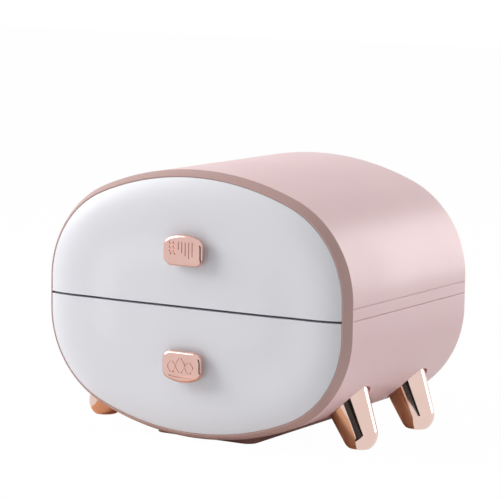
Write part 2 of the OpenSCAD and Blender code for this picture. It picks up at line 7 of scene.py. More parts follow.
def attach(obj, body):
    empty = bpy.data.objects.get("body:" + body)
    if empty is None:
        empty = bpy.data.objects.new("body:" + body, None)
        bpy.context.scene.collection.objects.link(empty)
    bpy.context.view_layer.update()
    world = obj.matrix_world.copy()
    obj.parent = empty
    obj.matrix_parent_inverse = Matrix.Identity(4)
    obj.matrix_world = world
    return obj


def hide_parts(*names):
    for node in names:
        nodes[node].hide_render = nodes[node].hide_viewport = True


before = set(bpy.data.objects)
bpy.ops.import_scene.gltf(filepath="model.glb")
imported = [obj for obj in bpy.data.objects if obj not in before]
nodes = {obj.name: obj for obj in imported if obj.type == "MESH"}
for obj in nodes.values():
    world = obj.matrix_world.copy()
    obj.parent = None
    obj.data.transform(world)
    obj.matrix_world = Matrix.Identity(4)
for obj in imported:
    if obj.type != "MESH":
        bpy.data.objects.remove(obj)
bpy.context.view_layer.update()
print("case loaded:", len(nodes), "nodes")

# Sizes are in mm in the case's own coordinates: x to the right, y back from the rim,
# z up from the middle of the oval. caseFrame moves them to the table's frame.
caseFrame = {"y": -100.3, "z": 116.4}
mm = 0.001
tolerance = {"level": 0.00001, "weld": 0.000004, "slice": 0.000001}   # m


def heightOf(z):
    return (z + caseFrame["z"]) * mm


def depthOf(y):
    return (y + caseFrame["y"]) * mm


def at(x, y, z):
    return Vector((x, y + caseFrame["y"], z + caseFrame["z"])) * mm


# The picture is 500 px wide and high, and middle is where the target falls in it
productCamera = {
    "turn": 30.97,                # degrees to the right of the front
    "height": 8.46,               # degrees above the horizon
    "roll": 0.88,                 # degrees
    "distance": 2233,             # mm from the target
    "target": (0, 106.03, 0),
    "focalPixels": 2547.5,
    "picture": 500,
    "middle": (257.24, 291.14),   # px from the upper left corner
    "sensor": 36,                 # mm
    "clip": (0.05, 50),           # m
}


def makeCamera():
    turn, height, roll = (math.radians(productCamera[key]) for key in ("turn", "height", "roll"))
    back = Vector((math.sin(turn) * math.cos(height), -math.cos(turn) * math.cos(height), math.sin(height)))
    right = (-back).cross(Vector((0, 0, 1))).normalized()
    up = right.cross(-back)
    rolledRight = right * math.cos(roll) + up * math.sin(roll)
    rolledUp = up * math.cos(roll) - right * math.sin(roll)
    focal, picture = productCamera["focalPixels"], productCamera["picture"]
    aimX = (picture / 2 - productCamera["middle"][0]) / focal
    aimY = (productCamera["middle"][1] - picture / 2) / focal
    forward = (-back + rolledRight * aimX + rolledUp * aimY).normalized()
    sideways = forward.cross(rolledUp).normalized()
    upright = sideways.cross(forward)
    bpy.ops.object.camera_add()
    camera = bpy.context.object
    camera.name = "productCamera"
    camera.data.sensor_width = productCamera["sensor"]
    camera.data.lens = focal / picture * productCamera["sensor"]
    camera.data.clip_start, camera.data.clip_end = productCamera["clip"]
    place = at(*productCamera["target"]) + back * productCamera["distance"] * mm
    turned = Matrix((sideways, upright, -forward)).transposed().to_4x4()
    camera.matrix_world = Matrix.Translation(place) @ turned
    bpy.context.scene.camera = camera


makeCamera()
print("camera set")


# An sRGB hex colour as linear red, green, blue and alpha
def toLinear(code):
    parts = [int(code[i:i + 2], 16) / 255 for i in (1, 3, 5)]
    return [p / 12.92 if p <= 0.04045 else ((p + 0.055) / 1.055) ** 2.4 for p in parts] + [1]


# Settings and links are by a socket's name or place; other settings are the node's own
def setUp(tree, node, settings=None, links=None):
    for key, value in (settings or {}).items():
        if isinstance(key, int) or key in node.inputs:
            node.inputs[key].default_value = value
        else:
            setattr(node, key, value)
    for key, source in (links or {}).items():
        tree.links.new(source, node.inputs[key])
    return node


def addNode(tree, kind, settings=None, links=None):
    return setUp(tree, tree.nodes.new(kind), settings, links)


def newMaterial(name):
    material = bpy.data.materials.new(name)
    material.use_nodes = True
    tree = material.node_tree
    return material, tree, tree.nodes["Principled BSDF"]


def dress(obj, material):
    obj.data.materials.clear()
    obj.data.materials.append(material)


# The scale of a noise pattern whose cells are size mm wide
def scaleFor(size):
    return 1 / (size * mm)


# A Mix node's colour sockets share their names with its number sockets, so they go by place
mixShare, mixFirst, mixSecond, mixResult = 0, 6, 7, 2

# Pattern sizes and bump depths are in mm; unevenness is a change of roughness
mouldedSkin = {
    "cloud": 90, "cloudFrom": 0.3, "cloudTo": 0.7, "unevenness": 0.04, "depth": 0.04, "ior": 1.53,
}
platedFilm = {"smoother": 0.02, "rougher": 0.03, "relief": 0.1, "depth": 0.1}
rubberSkin = {"grain": 1.2, "relief": 0.5, "depth": 0.1, "roughness": 0.75}
zincCoat = {"speck": 0.8, "smoothest": 0.25, "roughest": 0.45}


# Injection-moulded ABS or polystyrene: a satin skin with a very fine spark-eroded grain and a
# little unevenness in gloss. The real grain is about 0.1 mm and is drawn coarser, so as to show.
def mouldedPlastic(name, colour, shadeColour, roughness, grain, relief):
    material, tree, shader = newMaterial(name)
    place = addNode(tree, "ShaderNodeTexCoord").outputs["Object"]
    pits = addNode(tree, "ShaderNodeTexNoise", {"Scale": scaleFor(grain), "Detail": 2.0}, {"Vector": place})
    cloud = addNode(
        tree, "ShaderNodeTexNoise", {"Scale": scaleFor(mouldedSkin["cloud"]), "Detail": 3.0},
        {"Vector": place})
    tint = addNode(
        tree, "ShaderNodeMix",
        {"data_type": "RGBA", mixFirst: toLinear(colour), mixSecond: toLinear(shadeColour)},
        {mixShare: cloud.outputs["Fac"]})
    gloss = addNode(tree, "ShaderNodeMapRange", {
        "From Min": mouldedSkin["cloudFrom"], "From Max": mouldedSkin["cloudTo"],
        "To Min": roughness - mouldedSkin["unevenness"], "To Max": roughness + mouldedSkin["unevenness"],
    }, {"Value": cloud.outputs["Fac"]})
    bump = addNode(
        tree, "ShaderNodeBump", {"Strength": relief, "Distance": mouldedSkin["depth"] * mm},
        {"Height": pits.outputs["Fac"]})
    setUp(tree, shader, {"IOR": mouldedSkin["ior"]}, {
        "Base Color": tint.outputs[mixResult], "Roughness": gloss.outputs["Result"],
        "Normal": bump.outputs["Normal"],
    })
    return material


# Rose-gold vacuum plating on plastic: a mirror-like metal film that shows faint moulding waviness
def roseGoldPlating(name, colour, warmColour, roughness, wave):
    material, tree, shader = newMaterial(name)
    place = addNode(tree, "ShaderNodeTexCoord").outputs["Object"]
    waves = addNode(tree, "ShaderNodeTexNoise", {"Scale": scaleFor(wave), "Detail": 1.5}, {"Vector": place})
    tint = addNode(
        tree, "ShaderNodeMix",
        {"data_type": "RGBA", mixFirst: toLinear(colour), mixSecond: toLinear(warmColour)},
        {mixShare: waves.outputs["Fac"]})
    gloss = addNode(tree, "ShaderNodeMapRange", {
        "To Min": roughness - platedFilm["smoother"], "To Max": roughness + platedFilm["rougher"],
    }, {"Value": waves.outputs["Fac"]})
    bump = addNode(
        tree, "ShaderNodeBump", {"Strength": platedFilm["relief"], "Distance": platedFilm["depth"] * mm},
        {"Height": waves.outputs["Fac"]})
    setUp(tree, shader, {"Metallic": 1}, {
        "Base Color": tint.outputs[mixResult], "Roughness": gloss.outputs["Result"],
        "Normal": bump.outputs["Normal"],
    })
    return material


# Moulded thermoplastic rubber: dull and slightly mottled, with a coarse matt grain
def softRubber(name, colour, shadeColour):
    material, tree, shader = newMaterial(name)
    place = addNode(tree, "ShaderNodeTexCoord").outputs["Object"]
    grain = addNode(
        tree, "ShaderNodeTexNoise", {"Scale": scaleFor(rubberSkin["grain"]), "Detail": 4.0},
        {"Vector": place})
    tint = addNode(
        tree, "ShaderNodeMix",
        {"data_type": "RGBA", mixFirst: toLinear(colour), mixSecond: toLinear(shadeColour)},
        {mixShare: grain.outputs["Fac"]})
    bump = addNode(
        tree, "ShaderNodeBump", {"Strength": rubberSkin["relief"], "Distance": rubberSkin["depth"] * mm},
        {"Height": grain.outputs["Fac"]})
    setUp(tree, shader, {"Roughness": rubberSkin["roughness"]}, {
        "Base Color": tint.outputs[mixResult], "Normal": bump.outputs["Normal"],
    })
    return material


# Zinc-plated steel: bright grey metal with slightly uneven, speckled screw heads
def zincSteel(name, colour, darkColour):
    material, tree, shader = newMaterial(name)
    place = addNode(tree, "ShaderNodeTexCoord").outputs["Object"]
    speck = addNode(
        tree, "ShaderNodeTexNoise", {"Scale": scaleFor(zincCoat["speck"]), "Detail": 5.0},
        {"Vector": place})
    tint = addNode(
        tree, "ShaderNodeMix",
        {"data_type": "RGBA", mixFirst: toLinear(colour), mixSecond: toLinear(darkColour)},
        {mixShare: speck.outputs["Fac"]})
    gloss = addNode(
        tree, "ShaderNodeMapRange", {"To Min": zincCoat["smoothest"], "To Max": zincCoat["roughest"]},
        {"Value": speck.outputs["Fac"]})
    setUp(tree, shader, {"Metallic": 1}, {
        "Base Color": tint.outputs[mixResult], "Roughness": gloss.outputs["Result"],
    })
    return material


pinkAbs = mouldedPlastic("pinkMouldedAbs", "#EDCCCD", "#E8C5C7", roughness=0.40, grain=0.6, relief=0.2)
# The rim is the shell's pink plastic; its darker rose colour is painted shade
rimPinkPaintedShade = mouldedPlastic("rimPinkWithPaintedShade", "#BF9D98", "#B8958F", roughness=0.36, grain=0.5, relief=0.15)
whiteAbs = mouldedPlastic("coolWhiteMouldedAbs", "#E7E7EC", "#E3E3E9", roughness=0.38, grain=0.6, relief=0.15)
trayStyrene = mouldedPlastic("trayPolystyrene", "#E9E6E2", "#E4E0DB", roughness=0.45, grain=0.8, relief=0.25)
legPlating = roseGoldPlating("legRoseGoldPlating", "#E7CCC3", "#E1C1B5", roughness=0.08, wave=30)
knobPlating = roseGoldPlating("knobRoseGoldPlating", "#E2BFB7", "#D8AEA2", roughness=0.13, wave=12)
# The pad's dark brown-pink is painted shade from the belly above, laid over its own colour
padRubberPaintedShade = softRubber("padRubberWithPaintedShade", "#A87F78", "#9E756E")
zinc = zincSteel("zincPlatedSteel", "#C4C5C8", "#A9AAAE")
print("materials made")

# The oval's arcs are built on the 5-12-13 triangle, so that each runs smoothly into the next
oval = {
    "halfWidth": 150, "halfHeight": 114.5, "cornerZ": 13, "part": 12.125,
    "cornerSteps": 28, "archSteps": 36,
}
cornerX = 5 * oval["part"]
cornerR = oval["halfWidth"] - cornerX
archR = cornerR + 13 * oval["part"]
archZ = oval["halfHeight"] - archR
cornerTurn = math.atan2(12, 5)
archTurn = math.pi - 2 * cornerTurn


def letGo():
    if bpy.context.object and bpy.context.object.mode != "OBJECT":
        bpy.ops.object.mode_set(mode="OBJECT")
    bpy.ops.object.select_all(action="DESELECT")


def hold(obj):
    letGo()
    obj.select_set(True)
    bpy.context.view_layer.objects.active = obj


def openMesh(obj):
    hold(obj)
    bpy.ops.object.mode_set(mode="EDIT")


def isNear(value, level):
    return abs(value - level) < tolerance["level"]


# Selects the vertices, edges or faces of an open mesh that pass the test
def choose(obj, kind, test):
    bpy.context.tool_settings.mesh_select_mode = (kind == "verts", kind == "edges", kind == "faces")
    bpy.ops.mesh.select_all(action="DESELECT")
    mesh = bmesh.from_edit_mesh(obj.data)
    for part in getattr(mesh, kind):
        if test(part):
            part.select_set(True)
    mesh.select_flush_mode()
    bmesh.update_edit_mesh(obj.data)


def extrudeBy(x, y, z):
    bpy.ops.mesh.extrude_region_move(TRANSFORM_OT_translate={"value": Vector((x, y, z)) * mm})


def spinAbout(x, z, turn, steps):
    bpy.ops.mesh.spin(steps=steps, angle=turn, center=at(x, 0, z), axis=(0, 1, 0), use_auto_merge=False)


# A line through points, drawn from one vertex by extruding; its mesh is left open
def drawLine(name, points):
    letGo()
    bpy.ops.mesh.primitive_plane_add(size=2 * mm)
    line = bpy.context.object
    line.name = name
    bpy.context.tool_settings.mesh_select_mode = (True, False, False)
    bpy.ops.object.mode_set(mode="EDIT")
    bpy.ops.mesh.select_all(action="SELECT")
    bpy.ops.mesh.merge(type="CENTER")
    bpy.ops.transform.translate(value=at(*points[0]))
    for before, after in zip(points, points[1:]):
        extrudeBy(*(b - a for a, b in zip(before, after)))
    bpy.ops.mesh.select_all(action="SELECT")
    return line


# Spins the selected line along the three arcs of half the oval. side is 1 over the top and -1
# under the belly; start is 1 from the right end and -1 from the left.
def spinHalf(side, start):
    turn, level = side * start, side * oval["cornerZ"]
    spinAbout(start * cornerX, level, turn * cornerTurn, oval["cornerSteps"])
    spinAbout(0, side * archZ, turn * archTurn, oval["archSteps"])
    spinAbout(-start * cornerX, level, turn * cornerTurn, oval["cornerSteps"])


def sweepHalf(startZ, side):
    rise = side * oval["cornerZ"] - startZ
    extrudeBy(0, 0, rise)
    spinHalf(side, 1)
    extrudeBy(0, 0, -rise)


def sweepWhole():
    sweepHalf(0, 1)
    extrudeBy(0, 0, -oval["cornerZ"])
    spinHalf(-1, -1)
    extrudeBy(0, 0, oval["cornerZ"])


# Merges doubled vertices of the open mesh and turns its faces outwards
def joinUp():
    bpy.context.tool_settings.mesh_select_mode = (True, False, False)
    bpy.ops.mesh.select_all(action="SELECT")
    bpy.ops.mesh.remove_doubles(threshold=tolerance["weld"])
    bpy.ops.mesh.normals_make_consistent(inside=False)


# Closes the selected outline with a face and draws it out along y
def fillAndDraw(depth):
    joinUp()
    bpy.ops.mesh.select_all(action="SELECT")
    bpy.ops.mesh.edge_face_add()
    extrudeBy(0, depth, 0)
    joinUp()


# The points of an outline [(outwards, depth), ...] at the oval's side, back to the first
def closedLine(outline, z, side=1):
    points = [(side * (oval["halfWidth"] + out), depth, z) for out, depth in outline]
    return points + points[:1]


# An outline carried round half of the oval, with its two ends filled
def halfRing(name, outline, startZ, side):
    ring = drawLine(name, closedLine(outline, startZ))
    sweepHalf(startZ, side)
    joinUp()
    for end in (1, -1):
        choose(ring, "verts", lambda v: isNear(v.co.z, heightOf(startZ)) and v.co.x * end > mm)
        bpy.ops.mesh.edge_face_add()
    joinUp()
    letGo()
    return ring


def wholeRing(name, outline):
    ring = drawLine(name, closedLine(outline, 0))
    sweepWhole()
    joinUp()
    letGo()
    return ring


# A plate with the oval's outline, drawn in by inset
def ovalPlate(name, inset, front, rear):
    plate = drawLine(name, [(oval["halfWidth"] - inset, rear, 0)])
    sweepWhole()
    fillAndDraw(front - rear)
    letGo()
    return plate


def block(name, low, high):
    letGo()
    middle = [(a + b) / 2 for a, b in zip(low, high)]
    bpy.ops.mesh.primitive_cube_add(size=1, location=at(*middle))
    cube = bpy.context.object
    cube.name = name
    cube.scale = [abs(b - a) * mm for a, b in zip(low, high)]
    bpy.ops.object.transform_apply(location=True, rotation=True, scale=True)
    return cube


def roundBar(name, middle, length, radius, sides, turn):
    letGo()
    bpy.ops.mesh.primitive_cylinder_add(
        vertices=sides, radius=radius * mm, depth=length * mm, location=at(*middle), rotation=(turn, 0, 0))
    bar = bpy.context.object
    bar.name = name
    bpy.ops.object.transform_apply(location=True, rotation=True, scale=True)
    return bar


def post(name, x, y, bottom, top, radius, sides=32):
    return roundBar(name, (x, y, (bottom + top) / 2), top - bottom, radius, sides, 0)


# A round bar that lies along y
def drum(name, x, z, front, rear, radius, sides=40):
    return roundBar(name, (x, (front + rear) / 2, z), rear - front, radius, sides, math.pi / 2)


def useModifier(obj, kind, settings):
    hold(obj)
    modifier = obj.modifiers.new(kind.lower(), kind)
    for key, value in settings.items():
        setattr(modifier, key, value)
    bpy.ops.object.modifier_apply(modifier=modifier.name)


def softenEdges(obj, width, segments=3, degrees=35):
    useModifier(obj, "BEVEL", {
        "width": width * mm, "segments": segments, "limit_method": "ANGLE",
        "angle_limit": math.radians(degrees), "use_clamp_overlap": True,
    })


# Gives a surface its wall, on the inner side
def thicken(obj, wall):
    useModifier(obj, "SOLIDIFY", {"thickness": wall * mm, "offset": -1, "use_even_offset": True})


def cut(obj, tool, operation="DIFFERENCE"):
    useModifier(obj, "BOOLEAN", {"operation": operation, "object": tool, "solver": "EXACT"})
    bpy.data.objects.remove(tool)


# Cuts off the side of a closed form that the normal points to
def sliceOff(obj, x, y, z, normal):
    openMesh(obj)
    bpy.context.tool_settings.mesh_select_mode = (True, False, False)
    bpy.ops.mesh.select_all(action="SELECT")
    bpy.ops.mesh.bisect(
        plane_co=at(x, y, z), plane_no=normal, use_fill=True, clear_outer=True,
        threshold=tolerance["slice"])
    joinUp()
    letGo()


# Moves a form to the case's other side as its mirror image
def mirrorAcross(obj):
    openMesh(obj)
    bpy.ops.mesh.select_all(action="SELECT")
    bpy.ops.transform.mirror(constraint_axis=(True, False, False), center_override=(0, 0, 0))
    bpy.ops.mesh.normals_make_consistent(inside=False)
    letGo()


def joinObjects(first, *others):
    hold(first)
    for other in others:
        other.select_set(True)
    bpy.ops.object.join()
    return first


def finishPiece(obj, body, node, material, smooth=40):
    hold(obj)
    bpy.ops.object.shade_smooth_by_angle(angle=math.radians(smooth))
    useModifier(obj, "WEIGHTED_NORMAL", {"keep_sharp": True})
    dress(obj, material)
    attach(obj, body)
    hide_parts(node)
    print(obj.name, "made,", len(obj.data.polygons), "faces")


# Front rim: a swelling slope outside, a flat land, a rounded lip and a tongue into the shells
rim = {
    "slopeWidth": 4.6, "slopeDepth": 8.2, "slopeSteps": 6, "bulge": 0.35, "bulgeOut": 0.79,
    "bulgeFront": 0.61, "seamIn": 0.25, "seamBrow": 0.02, "seamDeep": 0.35, "land": 1.2, "lip": 0.35,
    "lipSteps": 5, "stop": 10.3, "ledge": 4.2, "depth": 16.5, "tongue": 3.2, "edge": 0.12,
}


def makeRim():
    opening = rim["slopeWidth"] + rim["land"]
    outline = [(-rim["seamIn"], rim["slopeDepth"]), (-rim["seamBrow"], rim["slopeDepth"] - rim["seamDeep"])]
    for step in range(1, rim["slopeSteps"] + 1):
        share = step / rim["slopeSteps"]
        swell = rim["bulge"] * math.sin(math.pi * share)
        outline.append((
            -rim["slopeWidth"] * share + swell * rim["bulgeOut"],
            rim["slopeDepth"] * (1 - share) - swell * rim["bulgeFront"],
        ))
    for step in range(rim["lipSteps"] + 1):
        turn = math.pi / 2 * step / rim["lipSteps"]
        outline.append((-opening + rim["lip"] * (1 - math.sin(turn)), rim["lip"] * (1 - math.cos(turn))))
    outline += [
        (-opening, rim["stop"]),
        (-opening - rim["ledge"], rim["stop"]), (-opening - rim["ledge"], rim["depth"]),
        (-rim["tongue"], rim["depth"]), (-rim["tongue"], rim["slopeDepth"]),
    ]
    ring = wholeRing("frontRim", outline)
    softenEdges(ring, rim["edge"], segments=2)
    # The rim's material carries painted shade in its darker colour
    finishPiece(ring, "case", "front_bezel", rimPinkPaintedShade)


makeRim()

# Casing halves: one wall outline, with a flange at the rear that the back panel closes
shell = {
    "front": 8.2, "rear": 218, "wall": 3, "rearRound": 8, "roundSteps": 8, "backEdge": 9.2,
    "flangeInner": 15.4, "flangeFront": 212, "flangeRear": 215, "seam": 0.35,
    "upperStart": 10.2, "lowerStart": -0.6,
}
upperBoss = {"x": 130, "y": (48, 178), "top": 26.2, "radius": 4, "webX": 147.5, "webHalf": 1.5}


def wallOutline():
    outline = [(0, shell["front"])]
    for step in range(shell["roundSteps"] + 1):
        turn = math.pi / 2 * step / shell["roundSteps"]
        outline.append((
            -shell["rearRound"] * (1 - math.cos(turn)),
            shell["rear"] - shell["rearRound"] * (1 - math.sin(turn)),
        ))
    return outline + [
        (-shell["backEdge"], shell["rear"]), (-shell["backEdge"], shell["flangeRear"]),
        (-shell["flangeInner"], shell["flangeRear"]), (-shell["flangeInner"], shell["flangeFront"]),
        (-shell["wall"], shell["flangeFront"]), (-shell["wall"], shell["front"]),
    ]


def makeUpperShell():
    wall = halfRing("upperShell", wallOutline(), shell["upperStart"], 1)
    softenEdges(wall, shell["seam"], segments=2)
    low, high, half = shell["upperStart"], upperBoss["top"], upperBoss["webHalf"]
    bosses = []
    for side in (1, -1):
        x, webX = side * upperBoss["x"], side * upperBoss["webX"]
        for y in upperBoss["y"]:
            bosses.append(post("upperBoss", x, y, low, high, upperBoss["radius"]))
            bosses.append(block("upperWeb", (x, y - half, low), (webX, y + half, high)))
    joinObjects(wall, *bosses)
    finishPiece(wall, "case", "upper_shell", pinkAbs)


makeUpperShell()

# Partition shelf: its two side bars show as the band between the casing halves
shelf = {
    "low": shell["lowerStart"], "high": shell["upperStart"], "plate": 2.5, "plateX": 148.2,
    "plateFront": 16.7, "plateRear": 213.5, "beamX": 139.8, "beamFront": 10.3, "beamRear": 19.7,
    "beamEdge": 0.5, "seam": 0.2, "groove": 0.6, "grooveDeep": 0.9,
}


# A bar along one side of the case, with the shells' outline in plan
def sideBar(name, side, outline, low, high):
    bar = drawLine(name, closedLine(outline, low, side))
    extrudeBy(0, 0, high - low)
    joinUp()
    for level in (low, high):
        choose(bar, "verts", lambda v: isNear(v.co.z, heightOf(level)))
        bpy.ops.mesh.edge_face_add()
    joinUp()
    letGo()
    softenEdges(bar, shelf["seam"], segments=2)
    return bar


# The band's face is less tall than its core, which leaves a fine groove above and below it
def makeShelf():
    low, high, groove = shelf["low"], shelf["high"], shelf["groove"]
    face = wallOutline()
    core = [(min(out, -shelf["grooveDeep"]), depth) for out, depth in face]
    bars = []
    for side in (1, -1):
        bars.append(sideBar("bandFace", side, face, low + groove, high - groove))
        bars.append(sideBar("bandCore", side, core, low, high))
    x, underside = shelf["plateX"], high - shelf["plate"]
    plate = block("partitionShelf", (-x, shelf["plateFront"], underside), (x, shelf["plateRear"], high))
    x = shelf["beamX"]
    beam = block("shelfBeam", (-x, shelf["beamFront"], low), (x, shelf["beamRear"], high))
    softenEdges(beam, shelf["beamEdge"], segments=2)
    for part in [beam] + bars:
        cut(plate, part, "UNION")
    finishPiece(plate, "case", "mid_shelf", pinkAbs)


makeShelf()

# Legs: splayed cones with a round tip. tipX and tipZ are the middle of the tip's ball, and run
# is the way from there along the axis to the seat, which faces the corner arc's middle.
leg = {
    "tipX": 129.4, "tipZ": -104.6, "splay": 24.8, "taper": 7.8, "tipR": 15, "reach": 64, "run": 30.07,
    "frontY": 62, "rearY": 166, "table": -caseFrame["z"], "tipSteps": 12, "around": 72, "edge": 0.7,
}
legPlaces = {
    "frontRightLeg": ("front_right_leg", 1, leg["frontY"]),
    "frontLeftLeg": ("front_left_leg", -1, leg["frontY"]),
    "rearRightLeg": ("rear_right_leg", 1, leg["rearY"]),
    "rearLeftLeg": ("rear_left_leg", -1, leg["rearY"]),
}
legUp = Vector((-math.sin(math.radians(leg["splay"])), math.cos(math.radians(leg["splay"]))))
legOut = Vector((legUp.y, -legUp.x))
legTip = Vector((leg["tipX"], leg["tipZ"]))
legSeat = legTip + legUp * leg["run"]
seatInward = Vector((cornerX - legSeat.x, -oval["cornerZ"] - legSeat.y)).normalized()


# A leg's form on the case's right, grown all round, with its axis leaning in to the case
def legForm(name, grow, y):
    tipR = leg["tipR"] + grow
    taper = math.radians(leg["taper"])
    outline = [(0, -tipR)]
    for step in range(1, leg["tipSteps"] + 1):
        turn = -math.pi / 2 + (math.pi / 2 - taper) * step / leg["tipSteps"]
        outline.append((tipR * math.cos(turn), tipR * math.sin(turn)))
    side, low = outline[-1]
    outline.append((side + leg["reach"] * math.tan(taper), low + leg["reach"]))
    outline.append((0, low + leg["reach"]))
    points = []
    for across, along in outline:
        place = legTip + legOut * across + legUp * along
        points.append((place.x, y, place.y))
    form = drawLine(name, points)
    bpy.ops.mesh.spin(
        steps=leg["around"], angle=2 * math.pi, center=at(legTip.x, y, legTip.y),
        axis=(legUp.x, 0, legUp.y), use_auto_merge=True)
    joinUp()
    letGo()
    return form


def cutAtSeat(form, y):
    sliceOff(form, legSeat.x, y, legSeat.y, (seatInward.x, 0, seatInward.y))


def makeLegs():
    for name, (node, side, y) in legPlaces.items():
        form = legForm(name, 0, y)
        cutAtSeat(form, y)
        sliceOff(form, 0, y, leg["table"], (0, 0, -1))
        softenEdges(form, leg["edge"])
        if side < 0:
            mirrorAcross(form)
        finishPiece(form, "case", node, legPlating, smooth=50)


makeLegs()

# Leg sockets: a seat that thickens the lower wall, from skin to deep in from the oval, and a gap
# round each leg. start is the height of the seats' upper ends.
socket = {"gap": 1.9, "wall": 3, "skin": 1.5, "deep": 7.4, "front": 20, "rear": 212.5, "start": -5}
lowerBoss = {"x": 142.6, "y": (62, 164), "bottom": -20.6, "radius": 3.6}


def makeLowerShell():
    wall = halfRing("lowerShell", wallOutline(), shell["lowerStart"], -1)
    softenEdges(wall, shell["seam"], segments=2)
    seats, gaps = [], []
    for _, side, y in legPlaces.values():
        seat = legForm("socketSeat", socket["gap"] + socket["wall"], y)
        gap = legForm("socketGap", socket["gap"], y)
        cutAtSeat(gap, y)
        if side < 0:
            mirrorAcross(seat)
            mirrorAcross(gap)
        seats.append(seat)
        gaps.append(gap)
    seat = joinObjects(*seats)
    layer = [
        (-socket["skin"], socket["front"]), (-socket["deep"], socket["front"]),
        (-socket["deep"], socket["rear"]), (-socket["skin"], socket["rear"]),
    ]
    cut(seat, halfRing("seatLayer", layer, socket["start"], -1), "INTERSECT")
    cut(wall, seat, "UNION")
    cut(wall, joinObjects(*gaps))
    low, high, radius = lowerBoss["bottom"], shell["lowerStart"], lowerBoss["radius"]
    bosses = [
        post("lowerBoss", side * lowerBoss["x"], y, low, high, radius)
        for side in (1, -1) for y in lowerBoss["y"]
    ]
    joinObjects(wall, *bosses)
    finishPiece(wall, "case", "lower_shell", pinkAbs, smooth=35)


makeLowerShell()

# Back panel: a plate on the flange, with six sunk screws
panel = {
    "inset": 9.4, "front": 215, "rear": 218, "edge": 0.6,
    "screwTurn": 35, "screwInset": 13.2, "recessR": 3.0, "recess": 1.8,
}
past = 1   # mm that a cutter reaches past the face it cuts


def backScrews():
    reach = cornerR - panel["screwInset"]
    turn = math.radians(panel["screwTurn"])
    x, z = cornerX + reach * math.cos(turn), oval["cornerZ"] + reach * math.sin(turn)
    top = oval["halfHeight"] - panel["screwInset"]
    return [(0, top), (0, -top), (x, z), (-x, z), (x, -z), (-x, -z)]


def makeBackPanel():
    plate = ovalPlate("backPanel", panel["inset"], panel["front"], panel["rear"])
    softenEdges(plate, panel["edge"])
    floor, end = panel["rear"] - panel["recess"], panel["rear"] + past
    recesses = [drum("recess", x, z, floor, end, panel["recessR"]) for x, z in backScrews()]
    cut(plate, joinObjects(*recesses))
    finishPiece(plate, "case", "back_panel", pinkAbs)


makeBackPanel()

# Base pad: a round-cornered block whose top follows the belly, with four sunk screws
basePad = {
    "width": 98, "length": 180, "height": 20, "front": 19, "corner": 9, "cornerSteps": 8, "edge": 1.0,
    "screwX": 41, "screwY": (35, 183), "recessR": 3.0, "headLevel": 2.8,
    "bellyFront": -91, "bellyRear": 309, "bellySides": 512,
}


def makeBasePad():
    x, y, table = basePad["width"] / 2, basePad["front"], leg["table"]
    body = block("basePad", (-x, y, table), (x, y + basePad["length"], table + basePad["height"]))
    openMesh(body)
    choose(body, "edges", lambda e: not isNear(e.verts[0].co.z, e.verts[1].co.z))
    bpy.ops.mesh.bevel(offset=basePad["corner"] * mm, segments=basePad["cornerSteps"], affect="EDGES")
    bellyEnds = basePad["bellyFront"], basePad["bellyRear"]
    cut(body, drum("belly", 0, -archZ, *bellyEnds, archR, basePad["bellySides"]))
    softenEdges(body, basePad["edge"], degrees=50)
    low, high, radius = table - past, table + basePad["headLevel"], basePad["recessR"]
    heads = [
        post("padRecess", side * basePad["screwX"], y, low, high, radius)
        for side in (1, -1) for y in basePad["screwY"]
    ]
    cut(body, joinObjects(*heads))
    # The pad's material carries painted shade in its darker colour
    finishPiece(body, "case", "base_pad", padRubberPaintedShade)


makeBasePad()

# What differs between the two drawers: the half of the oval, the height of the front's straight
# edge and of the knob's middle, and the places (x, z) of the screws that hold the tray
drawers = {
    "upper": {"side": 1, "edgeZ": 0.4, "knobZ": 48.7, "screws": [(85, 26.5), (85, 56.5)]},
    "lower": {"side": -1, "edgeZ": -1.6, "knobZ": -49.9, "screws": [(85, -14.7), (57, -77.7)]},
}
# Drawer fronts: roll is the width of the rounded border, and core is how far in from the oval
# the flat middle begins
front = {
    "inset": 6.0, "rear": 10, "edgeOut": 0.1, "shoulder": 5.7, "crown": 7.3, "roll": 42, "core": 81.4,
    "curve": 3.8, "rollSteps": 20, "crownSteps": 8, "skin": 3, "edge": 0.7,
    "bossR": 4, "trayBossFront": -2, "knobBossX": 7, "knobBossFront": -4.6, "knobBossRear": -1.3,
}
neck = {"halfFlat": 7, "radius": 6.5, "sides": 64, "play": 0.2, "seatFront": -9}


# Depth of the crowned face at a distance from its own edge
def faceDepth(inwards):
    if inwards < front["roll"]:
        drop = (1 - inwards / front["roll"]) ** front["curve"]
        return (front["shoulder"] - front["edgeOut"]) * drop - front["shoulder"]
    share = min(1, (inwards - front["roll"]) / (front["core"] - front["inset"] - front["roll"]))
    return -front["shoulder"] - (front["crown"] - front["shoulder"]) * share * share * (3 - 2 * share)


# The oblong neck behind a knob, grown all round by play
def neckForm(name, play, z, fromY, toY):
    x, radius = neck["halfFlat"], neck["radius"] + play
    form = block(name, (-x, fromY, z - radius), (x, toY, z + radius))
    for side in (1, -1):
        cut(form, drum("neckRound", side * x, z, fromY, toY, radius, neck["sides"]), "UNION")
    return form


